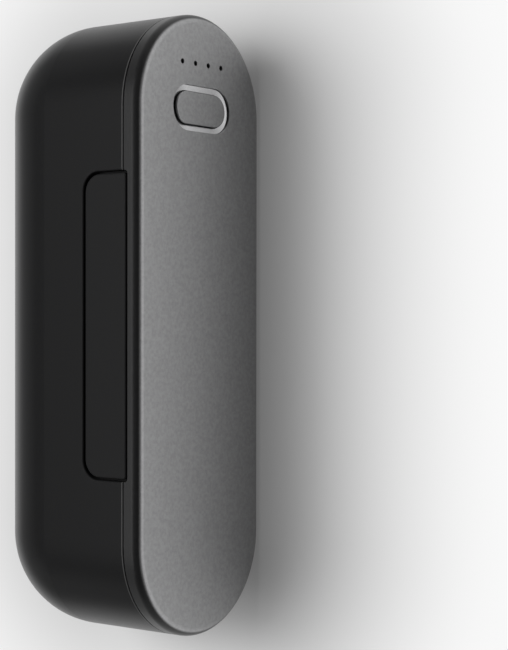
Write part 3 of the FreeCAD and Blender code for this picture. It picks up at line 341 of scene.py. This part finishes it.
@dataclass(frozen=True)
class Finish:
    """One finish, made into a material on first use.

    Attributes:
        name: name of the record's slot that it is for, or of a plating.
        colour: linear base colour.
        roughness: mean roughness.
        metallic: 1 for bare metal.
        grain: fine change over the surface.
        zone: a zone at the front with a colour of its own.
        pattern: lines drawn over the colour.
        line_colour: colour of those lines.
        pitch: distance between them, in metres.
        specular: specular level of the shader.
        coat: weight of a clear coat.
    """

    name: str
    colour: Colour
    roughness: float
    metallic: float = 0.0
    grain: Grain = FINE
    zone: FrontZone | None = None
    pattern: Pattern = Pattern.NONE
    line_colour: Colour = (0.0, 0.0, 0.0)
    pitch: float = 1.0 * MM
    specular: float = 0.5
    coat: float = 0.0

    def material(self) -> bpy.types.Material:
        """Give the finish's material.

        Returns:
            The material, built on first use.
        """
        name = self.name + "_finish"
        made = bpy.data.materials.get(name)
        if made:
            return made
        material = bpy.data.materials.new(name)
        material.use_nodes = True
        nodes, links = material.node_tree.nodes, material.node_tree.links
        shader = nodes["Principled BSDF"]
        shader.inputs["Metallic"].default_value = self.metallic
        shader.inputs["Specular IOR Level"].default_value = self.specular
        shader.inputs["Coat Weight"].default_value = self.coat
        grain = nodes.new("ShaderNodeGroup")
        grain.node_tree = DetailGroup.grain()
        grain.inputs["Colour"].default_value = (*self.colour, 1.0)
        grain.inputs["Roughness"].default_value = self.roughness
        grain.inputs["Scale"].default_value = 1.0 / self.grain.size
        grain.inputs["Stretch"].default_value = self.grain.stretch
        grain.inputs["Tone"].default_value = self.grain.tone
        grain.inputs["Gloss"].default_value = self.grain.gloss
        bump = nodes.new("ShaderNodeBump")
        bump.inputs["Distance"].default_value = self.grain.relief
        links.new(grain.outputs["Height"], bump.inputs["Height"])
        links.new(bump.outputs["Normal"], shader.inputs["Normal"])
        links.new(grain.outputs["Roughness"], shader.inputs["Roughness"])
        if self.zone:
            self.add_zone(material, grain, shader)
        if self.pattern is Pattern.NONE:
            links.new(grain.outputs["Colour"], shader.inputs["Base Color"])
        else:
            self.add_lines(material, grain, shader)
        return material

    def add_zone(
        self, material: bpy.types.Material, grain: bpy.types.Node, shader: bpy.types.Node,
    ) -> None:
        """Give the front of the node its own colour.

        Args:
            material: the material being built.
            grain: the node that takes the ground colour and roughness.
            shader: the material's shader.
        """
        nodes, links = material.node_tree.nodes, material.node_tree.links
        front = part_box(self.zone.node)[0].y
        edge = front + self.zone.depth
        mask = nodes.new("ShaderNodeGroup")
        mask.node_tree = DetailGroup.front_zone()
        mask.inputs["Start"].default_value = front + self.zone.start
        mask.inputs["Edge"].default_value = edge
        mask.inputs["End"].default_value = edge + self.zone.fade
        colour = nodes.new("ShaderNodeMix")
        colour.data_type = "RGBA"
        colour.inputs["A"].default_value = (*self.colour, 1.0)
        colour.inputs["B"].default_value = (*self.zone.colour, 1.0)
        rough = nodes.new("ShaderNodeMix")
        rough.inputs["A"].default_value = self.roughness
        rough.inputs["B"].default_value = self.zone.roughness
        links.new(mask.outputs["Mask"], colour.inputs["Factor"])
        links.new(mask.outputs["Mask"], rough.inputs["Factor"])
        links.new(colour.outputs["Result"], grain.inputs["Colour"])
        links.new(rough.outputs["Result"], grain.inputs["Roughness"])
        if self.zone.metal:
            links.new(mask.outputs["Mask"], shader.inputs["Metallic"])

    def add_lines(
        self, material: bpy.types.Material, grain: bpy.types.Node, shader: bpy.types.Node,
    ) -> None:
        """Draw the pattern's lines over the ground colour.

        Args:
            material: the material being built.
            grain: the node that gives the ground colour.
            shader: the material's shader.
        """
        nodes, links = material.node_tree.nodes, material.node_tree.links
        lines = nodes.new("ShaderNodeGroup")
        lines.node_tree = DetailGroup.lines(self.pattern)
        lines.inputs["Line"].default_value = (*self.line_colour, 1.0)
        lines.inputs["Scale"].default_value = WAVE_LENGTH / self.pitch
        links.new(grain.outputs["Colour"], lines.inputs["Ground"])
        links.new(lines.outputs["Colour"], shader.inputs["Base Color"])


FACE_GREY = (0.362, 0.362, 0.366)
FACE_ROUGHNESS = 0.3
RIM_BLACK = (0.0165, 0.0165, 0.0169)
RIM_ROUGHNESS = 0.36
RIM_SPECULAR = 0.5
SHELL_SPECULAR = 0.13
FACE_DEPTH = 0.08 * MM
FACE_FADE = 0.28 * MM
# Painted highlight: a lighter band just behind the shell's front edge, standing in for the light that the seam's
# eased edge catches.
SEAM_PAINTED_HIGHLIGHT = FrontZone(
    "back_shell", (0.078, 0.078, 0.078), roughness=0.35, metal=False,
    depth=0.34 * MM, fade=0.05 * MM, start=0.2 * MM,
)
CAP_FACE = FrontZone(
    "front_cap", FACE_GREY, FACE_ROUGHNESS, metal=True, depth=FACE_DEPTH, fade=FACE_FADE,
)
KEY_FACE = replace(CAP_FACE, node="power_button")

FINISHES: dict[str, Finish] = {
    finish.name: finish
    for finish in (
        Finish(
            "shell_black", (0.0135, 0.0135, 0.0139), 0.3,
            grain=SATIN, specular=SHELL_SPECULAR, zone=SEAM_PAINTED_HIGHLIGHT,
        ),
        Finish(
            "cap_grey", RIM_BLACK, RIM_ROUGHNESS, grain=BLASTED, specular=RIM_SPECULAR, zone=CAP_FACE,
        ),
        Finish("seal_rubber", (0.012, 0.012, 0.012), 0.7),
        Finish("cover_rubber", (0.0148, 0.0148, 0.0152), 0.32, grain=SATIN, specular=SHELL_SPECULAR),
        Finish(
            "key_grey", RIM_BLACK, RIM_ROUGHNESS, grain=BLASTED, specular=RIM_SPECULAR, zone=KEY_FACE,
        ),
        Finish("ring_polished", (0.88, 0.88, 0.89), 0.16, 1.0),
        Finish("switch_black", (0.02, 0.02, 0.02), 0.45),
        Finish("plunger_white", (0.72, 0.72, 0.7), 0.4),
        Finish("guide_smoke", (0.01, 0.01, 0.011), 0.12, coat=0.5),
        Finish("lamp_white", (0.8, 0.79, 0.7), 0.3),
        Finish(
            "board_green", (0.012, 0.09, 0.035), 0.35,
            pattern=Pattern.TRACE, line_colour=(0.02, 0.13, 0.05), pitch=1.6 * MM,
        ),
        Finish("chip_black", (0.02, 0.02, 0.021), 0.4),
        Finish("coil_grey", (0.07, 0.07, 0.07), 0.6),
        Finish("capacitor_tan", (0.36, 0.24, 0.13), 0.35),
        Finish("socket_steel", (0.58, 0.58, 0.58), 0.24, 1.0, grain=BRUSHED),
        Finish("tongue_white", (0.7, 0.7, 0.67), 0.4),
        Finish("tongue_black", (0.018, 0.018, 0.018), 0.4),
        Finish("can_steel", (0.6, 0.6, 0.59), 0.25, 1.0, grain=BRUSHED),
        Finish(
            "core_foil", (0.2, 0.17, 0.15), 0.4, 0.6,
            pattern=Pattern.WINDING, line_colour=(0.5, 0.36, 0.25), pitch=0.4 * MM,
        ),
        Finish("gasket_white", (0.7, 0.7, 0.67), 0.45),
        Finish("sleeve_blue", (0.03, 0.12, 0.33), 0.28, grain=SATIN, coat=0.3),
        Finish("strip_nickel", (0.58, 0.55, 0.5), 0.3, 1.0, grain=BRUSHED),
        Finish("frame_black", (0.03, 0.03, 0.032), 0.55),
        Finish("screw_steel", (0.5, 0.5, 0.48), 0.3, 1.0),
        Finish(
            "film_amber", (0.42, 0.17, 0.02), 0.28, coat=0.4,
            pattern=Pattern.TRACE, line_colour=(0.55, 0.26, 0.08), pitch=2.0 * MM,
        ),
        Finish("foam_grey", (0.22, 0.22, 0.22), 0.85, grain=FOAMED),
        Finish("lead_red", (0.42, 0.02, 0.015), 0.4),
        Finish("sensor_black", (0.012, 0.012, 0.012), 0.25),
        Finish("pad_silicone", (0.38, 0.38, 0.39), 0.6, grain=SATIN),
        Finish("contact_gold", (0.75, 0.5, 0.2), 0.22, 1.0),
    )
}


def add_object(name: str, mesh: bmesh.types.BMesh, material: bpy.types.Material) -> bpy.types.Object:
    """Turn a bmesh into an object with one material.

    Args:
        name: name of the object.
        mesh: its shape, freed here.
        material: its material.

    Returns:
        The object, smooth but for its sharp edges.
    """
    data = bpy.data.meshes.new(name)
    mesh.to_mesh(data)
    mesh.free()
    for face in data.polygons:
        face.use_smooth = True
    data.set_sharp_from_angle(angle=SHARP_ANGLE)
    data.materials.append(material)
    made = bpy.data.objects.new(name, data)
    bpy.context.collection.objects.link(made)
    LOG.info("piece %s: %d faces", name, len(data.polygons))
    return made


@dataclass
class SubAssembly:
    """A set of nodes that get their finishes together.

    Attributes:
        nodes: names of the nodes.
    """

    nodes: tuple[str, ...] = ()

    def build(self) -> None:
        """Make the pieces that the solids lack; a plain sub-assembly has none."""

    def dress(self) -> None:
        """Give each node its finish, by the slot that the record names for it."""
        slots = {row["node"]: row["material_slot"] for row in frame["record"]["subparts"]}
        for name in self.nodes:
            node = frame["nodes"][name]
            node.data.materials.clear()
            node.data.materials.append(FINISHES[slots[name]].material())
            LOG.info("node %s: %s", name, slots[name])


@dataclass
class Casing(SubAssembly):
    """Heated cap, deep shell and the seal between them."""

    nodes: tuple[str, ...] = ("back_shell", "front_cap", "cap_seal")


@dataclass
class SocketCover(SubAssembly):
    """Flexible cover, its clamped strip and the web that joins them.

    Attributes:
        web_thickness: thickness of the web, in metres.
        web_inset: how much shorter than the strip it is at each end.
        web_bend: radius of its bend.
        bend_angle: turn of that bend.
        bend_steps: faces around it.
    """

    nodes: tuple[str, ...] = ("port_cover", "cover_anchor")
    web_thickness: float = 0.3 * MM
    web_inset: float = 0.4 * MM
    web_bend: float = 0.35 * MM
    bend_angle: float = math.radians(60)
    bend_steps: int = 6

    def build(self) -> None:
        """Sweep the web from the strip up to the cover's thin zone."""
        low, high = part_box("cover_anchor")
        hinge = next(joint for joint in frame["joints"] if joint["name"] == "cover_hinge")
        start = Vector((low.x + self.web_inset, (low.y + high.y) / 2, high.z - self.web_thickness))
        lift = Vector((0, 0, 2 * self.web_thickness))
        end = Vector((start.x, hinge["pos_m"][1], hinge["pos_m"][2] - self.web_thickness))
        mesh = bmesh.new()
        foot = mesh.verts.new(start)
        raised = bmesh.ops.extrude_vert_indiv(mesh, verts=[foot])["verts"]
        bmesh.ops.translate(mesh, verts=raised, vec=lift)
        centre = raised[0].co - Vector((0, self.web_bend, 0))
        bent = bmesh.ops.spin(
            mesh, geom=raised, cent=centre, axis=Vector((1, 0, 0)),
            angle=self.bend_angle, steps=self.bend_steps,
        )["geom_last"]
        last = [item for item in bent if isinstance(item, bmesh.types.BMVert)]
        tip = bmesh.ops.extrude_vert_indiv(mesh, verts=last)["verts"]
        bmesh.ops.translate(mesh, verts=tip, vec=end - tip[0].co)
        swept = bmesh.ops.extrude_edge_only(mesh, edges=mesh.edges[:])["geom"]
        across = [item for item in swept if isinstance(item, bmesh.types.BMVert)]
        width = high.x - low.x - 2 * self.web_inset
        bmesh.ops.translate(mesh, verts=across, vec=Vector((width, 0, 0)))
        bmesh.ops.recalc_face_normals(mesh, faces=mesh.faces[:])
        bmesh.ops.solidify(mesh, geom=mesh.faces[:], thickness=self.web_thickness)
        web = add_object("hinge_web", mesh, FINISHES["cover_rubber"].material())
        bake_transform(web)


@dataclass
class PowerKey(SubAssembly):
    """Key, trim ring and the switch below."""

    nodes: tuple[str, ...] = ("power_button", "button_ring", "tact_switch", "switch_plunger")


@dataclass
class LevelLights(SubAssembly):
    """Light guide and its lamps."""

    nodes: tuple[str, ...] = ("light_guide", "indicator_leds")


@dataclass(frozen=True)
class ContactRow:
    """A row of plated contacts on a socket's tongue.

    Attributes:
        name: name of the piece.
        node: the tongue's node.
        count: contacts on one side.
        pitch: distance between them, in metres.
        width: width of one.
        length: length of one.
        set_back: how far it starts from the tongue's tip.
        both_sides: whether the tongue's far side has them too.
        rise: how far they stand out of the tongue.
        bevel_steps: faces across a bevelled edge.
    """

    name: str
    node: str
    count: int
    pitch: float
    width: float
    length: float
    set_back: float
    both_sides: bool
    rise: float = 0.06 * MM
    bevel_steps: int = 2

    def build(self) -> None:
        """Lay the contacts on the tongue."""
        points = [vertex.co for vertex in frame["nodes"][self.node].data.vertices]
        top = max(point.z for point in points)
        tip = [point for point in points if top - point.z < self.rise]
        middle = (min(point.x for point in tip) + max(point.x for point in tip)) / 2
        faces = [min(point.y for point in tip)]
        if self.both_sides:
            faces.append(max(point.y for point in tip))
        size = Matrix.Diagonal((self.width, 2 * self.rise, self.length, 1.0))
        mesh = bmesh.new()
        for face in faces:
            for index in range(self.count):
                along = middle + (index - (self.count - 1) / 2) * self.pitch
                centre = Vector((along, face, top - self.set_back - self.length / 2))
                bmesh.ops.create_cube(mesh, size=1.0, matrix=Matrix.Translation(centre) @ size)
        bmesh.ops.bevel(
            mesh, geom=mesh.edges[:], offset=self.rise / 2, affect="EDGES",
            segments=self.bevel_steps, profile=0.5, material=-1,
        )
        contacts = add_object(self.name, mesh, FINISHES["contact_gold"].material())
        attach(contacts, Body.CASING.value)


@dataclass
class Sockets(SubAssembly):
    """The two sockets, with contacts on their tongues.

    Attributes:
        rows: the rows of contacts.
    """

    nodes: tuple[str, ...] = (
        "output_socket_shell", "output_socket_tongue", "charging_socket_shell", "charging_socket_tongue",
    )
    rows: tuple[ContactRow, ...] = (
        ContactRow(
            "output_contacts", "output_socket_tongue", count=4, pitch=2.3 * MM,
            width=1.0 * MM, length=6.0 * MM, set_back=0.6 * MM, both_sides=False,
        ),
        ContactRow(
            "charging_contacts", "charging_socket_tongue", count=12, pitch=0.5 * MM,
            width=0.27 * MM, length=3.0 * MM, set_back=0.5 * MM, both_sides=True, rise=0.03 * MM,
        ),
    )

    def build(self) -> None:
        """Add the contacts."""
        for row in self.rows:
            row.build()


@dataclass
class CircuitBoard(SubAssembly):
    """Board and what is soldered to it."""

    nodes: tuple[str, ...] = ("main_board", "control_chips", "power_inductor", "board_capacitors")


@dataclass
class Cell(SubAssembly):
    """Lithium cell and its strips."""

    nodes: tuple[str, ...] = (
        "cell_can", "cell_core", "cell_gasket", "cell_terminal", "cell_sleeve",
        "positive_strip", "negative_strip",
    )


@dataclass
class InnerFrame(SubAssembly):
    """Frame and the screws that hold it and the board."""

    nodes: tuple[str, ...] = ("inner_frame", "frame_screws", "board_screws")


@dataclass
class Heating(SubAssembly):
    """Heating films, insulation, leads, sensor and pads."""

    nodes: tuple[str, ...] = (
        "front_heater", "front_insulation", "front_heater_leads", "temperature_sensor",
        "back_heater", "cell_pads",
    )


@dataclass(frozen=True)
class Panel:
    """A soft light panel that faces the object.

    Attributes:
        name: name of the light.
        place: where it stands, in metres.
        size: its width and height, in metres.
        radiance: brightness of its face.
        mirrored: whether glossy surfaces show it.
    """

    name: str
    place: Point
    size: tuple[float, float]
    radiance: float
    mirrored: bool = True

    def add(self, target: Vector) -> None:
        """Add the panel, turned to a target.

        Args:
            target: the point that it faces.
        """
        light = bpy.data.lights.new(self.name, "AREA")
        light.shape = "RECTANGLE"
        light.size, light.size_y = self.size
        light.energy = self.radiance * math.pi * self.size[0] * self.size[1]
        lamp = bpy.data.objects.new(self.name, light)
        lamp.location = self.place
        lamp.visible_glossy = self.mirrored
        lamp.rotation_euler = (Vector(self.place) - target).to_track_quat("Z", "Y").to_euler()
        bpy.context.collection.objects.link(lamp)


@dataclass(frozen=True)
class PaintedLightPool:
    """A painted pool of light: the round of floor that is whitest, to the eye and in what surfaces mirror.

    Attributes:
        centre: its middle, in metres.
        inner: radius up to which it is whitest.
        outer: radius where it ends.
        far_share: how white floor and backdrop are beyond it, as a share of that.
    """

    centre: Point
    inner: float
    outer: float
    far_share: float

    def share_at(self, tree: bpy.types.NodeTree, place: bpy.types.NodeSocket) -> bpy.types.NodeSocket:
        """Work out how white a place is, as a share of the whitest.

        Args:
            tree: the floor's node tree.
            place: the place.

        Returns:
            The socket with the share.
        """
        distance = math_node(tree, "DISTANCE", place, self.centre, vector=True)
        return ramp_node(tree, distance, (self.inner, self.outer), (1.0, self.far_share))


@dataclass
class Studio:
    """Pale sweep of floor and backdrop, light panels, world and camera.

    Attributes:
        floor_radius: where the floor starts to rise, in metres.
        sweep_radius: radius of the rise.
        wall_height: top of the backdrop.
        turn_steps: faces around the sweep.
        rise_steps: faces up the rise.
        floor_colour: linear colour of floor and backdrop.
        foot: half sizes of the tall box that the distance from the object is taken from.
        contact_share: how much of the floor at the object is plain white; less white there paints shade around the
            object on top of its real shadow.
        white_share: how much of the floor around it is.
        white_reach: the distances from the object over which the painted shade around it fades to white.
        pool: a painted pool of light, the round of floor that is whitest.
        world_colour: dim even light of the room.
        camera_place: the lens, in metres.
        camera_right: the picture's rightward direction.
        camera_up: the picture's upward direction.
        camera_lens: focal length, in millimetres.
        sensor: the larger side of the picture on the sensor, in millimetres.
        near_clip: the nearest that the camera sees, in metres.
        panels: the lights.
    """

    floor_radius: float = 2.0
    sweep_radius: float = 0.5
    wall_height: float = 1.2
    turn_steps: int = 96
    rise_steps: int = 10
    floor_colour: Colour = (0.6, 0.6, 0.6)
    foot: Point = (34 * MM, 17.75 * MM, 10.0)
    contact_share: float = 0.13
    white_share: float = 0.9
    white_reach: Span = (5 * MM, 48 * MM)
    pool: PaintedLightPool = PaintedLightPool(
        centre=(25 * MM, -60 * MM, 0.0), inner=60 * MM, outer=400 * MM, far_share=0.35,
    )
    world_colour: Colour = (0.03, 0.03, 0.03)
    camera_place: Point = (1.83 * MM, -183.92 * MM, 225.52 * MM)
    camera_right: Point = (0.001, -0.803, -0.596)
    camera_up: Point = (1.0, 0.004, -0.005)
    camera_lens: float = 91.98
    sensor: float = 36.0
    near_clip: float = 0.01
    panels: tuple[Panel, ...] = (
        Panel("key_panel", place=(0.1, 0.12, 0.39), size=(0.25, 0.35), radiance=5.4, mirrored=False),
        Panel("back_panel", place=(0.0, 0.25, 0.47), size=(0.6, 0.22), radiance=1.1),
        Panel("end_panel", place=(-0.4, 0.42, 0.28), size=(0.3, 0.25), radiance=0.2),
    )

    def build(self) -> None:
        """Set the stage up."""
        self.add_sweep()
        self.add_world()
        target = (CAD_BOX[0] + CAD_BOX[1]) / 2
        for panel in self.panels:
            panel.add(target)
        self.add_camera()
        bpy.context.scene.view_settings.view_transform = "Standard"

    def add_sweep(self) -> None:
        """Turn the floor, its rise and the backdrop out of one profile."""
        mesh = bmesh.new()
        middle = mesh.verts.new((0, 0, 0))
        edge = bmesh.ops.extrude_vert_indiv(mesh, verts=[middle])["verts"]
        bmesh.ops.translate(mesh, verts=edge, vec=Vector((self.floor_radius, 0, 0)))
        risen = bmesh.ops.spin(
            mesh, geom=edge, cent=Vector((self.floor_radius, 0, self.sweep_radius)),
            axis=Vector((0, -1, 0)), angle=QUARTER_TURN, steps=self.rise_steps,
        )["geom_last"]
        foot = [item for item in risen if isinstance(item, bmesh.types.BMVert)]
        top = bmesh.ops.extrude_vert_indiv(mesh, verts=foot)["verts"]
        bmesh.ops.translate(mesh, verts=top, vec=Vector((0, 0, self.wall_height - self.sweep_radius)))
        bmesh.ops.spin(
            mesh, geom=mesh.verts[:] + mesh.edges[:], cent=Vector(), axis=Vector((0, 0, 1)),
            angle=math.tau, steps=self.turn_steps, use_merge=True,
        )
        bmesh.ops.remove_doubles(mesh, verts=mesh.verts[:], dist=MM)
        bmesh.ops.recalc_face_normals(mesh, faces=mesh.faces[:])
        add_object("studio_sweep", mesh, self.sweep_material())

    def sweep_material(self) -> bpy.types.Material:
        """Make the sweep's pale finish, with painted shade at the object and a painted pool of light, the same for
        camera, mirrored and transmitted rays.

        Returns:
            The material.
        """
        material = bpy.data.materials.new("sweep_white")
        material.use_nodes = True
        tree = material.node_tree
        nodes, links = tree.nodes, tree.links
        shader = nodes["Principled BSDF"]
        shader.inputs["Base Color"].default_value = (*self.floor_colour, 1.0)
        shader.inputs["Roughness"].default_value = 1.0
        shader.inputs["Specular IOR Level"].default_value = 0.0
        place = nodes.new("ShaderNodeTexCoord").outputs["Object"]
        folded = math_node(tree, "ABSOLUTE", place, vector=True)
        away = math_node(tree, "SUBTRACT", folded, self.foot, vector=True)
        outside = math_node(tree, "MAXIMUM", away, (0.0, 0.0, 0.0), vector=True)
        distance = math_node(tree, "LENGTH", outside, vector=True)
        path = nodes.new("ShaderNodeLightPath").outputs
        shiny = math_node(tree, "MAXIMUM", path["Is Glossy Ray"], path["Is Transmission Ray"])
        seen = math_node(tree, "MAXIMUM", path["Is Camera Ray"], shiny)
        # Painted shade: the floor is least white at the object and whitens away from it, over its real shadow.
        rise = ramp_node(tree, distance, self.white_reach, (self.contact_share, self.white_share))
        # The painted pool of light whitens the floor most in a round in front of the object and less far off.
        whiteness = math_node(tree, "MULTIPLY", rise, self.pool.share_at(tree, place))
        share = math_node(tree, "MULTIPLY", whiteness, seen)
        white = nodes.new("ShaderNodeEmission")
        blend = nodes.new("ShaderNodeMixShader")
        links.new(share, blend.inputs["Fac"])
        links.new(shader.outputs["BSDF"], blend.inputs[1])
        links.new(white.outputs["Emission"], blend.inputs[2])
        links.new(blend.outputs["Shader"], nodes["Material Output"].inputs["Surface"])
        return material

    def add_world(self) -> None:
        """Give the room a dim even light."""
        world = bpy.data.worlds.new("room")
        world.use_nodes = True
        world.node_tree.nodes["Background"].inputs["Color"].default_value = (*self.world_colour, 1.0)
        bpy.context.scene.world = world

    def add_camera(self) -> None:
        """Place the camera at the photograph's view."""
        lens = bpy.data.cameras.new("camera")
        lens.lens = self.camera_lens
        lens.sensor_width = self.sensor
        lens.clip_start = self.near_clip
        camera = bpy.data.objects.new("camera", lens)
        right = Vector(self.camera_right).normalized()
        back = right.cross(Vector(self.camera_up)).normalized()
        up = back.cross(right)
        turn = Matrix((right, up, back)).transposed().to_4x4()
        camera.matrix_world = Matrix.Translation(self.camera_place) @ turn
        bpy.context.collection.objects.link(camera)
        bpy.context.scene.camera = camera


def main() -> None:
    """Build and dress every sub-assembly, then the studio, in order."""
    logging.basicConfig(level=logging.INFO, format="%(message)s")
    parts = (
        Casing(), SocketCover(), PowerKey(), LevelLights(), Sockets(),
        CircuitBoard(), Cell(), InnerFrame(), Heating(),
    )
    for part in parts:
        LOG.info("sub-assembly %s", type(part).__name__)
        part.build()
        part.dress()
    Studio().build()


if __name__ == "__main__":
    main()
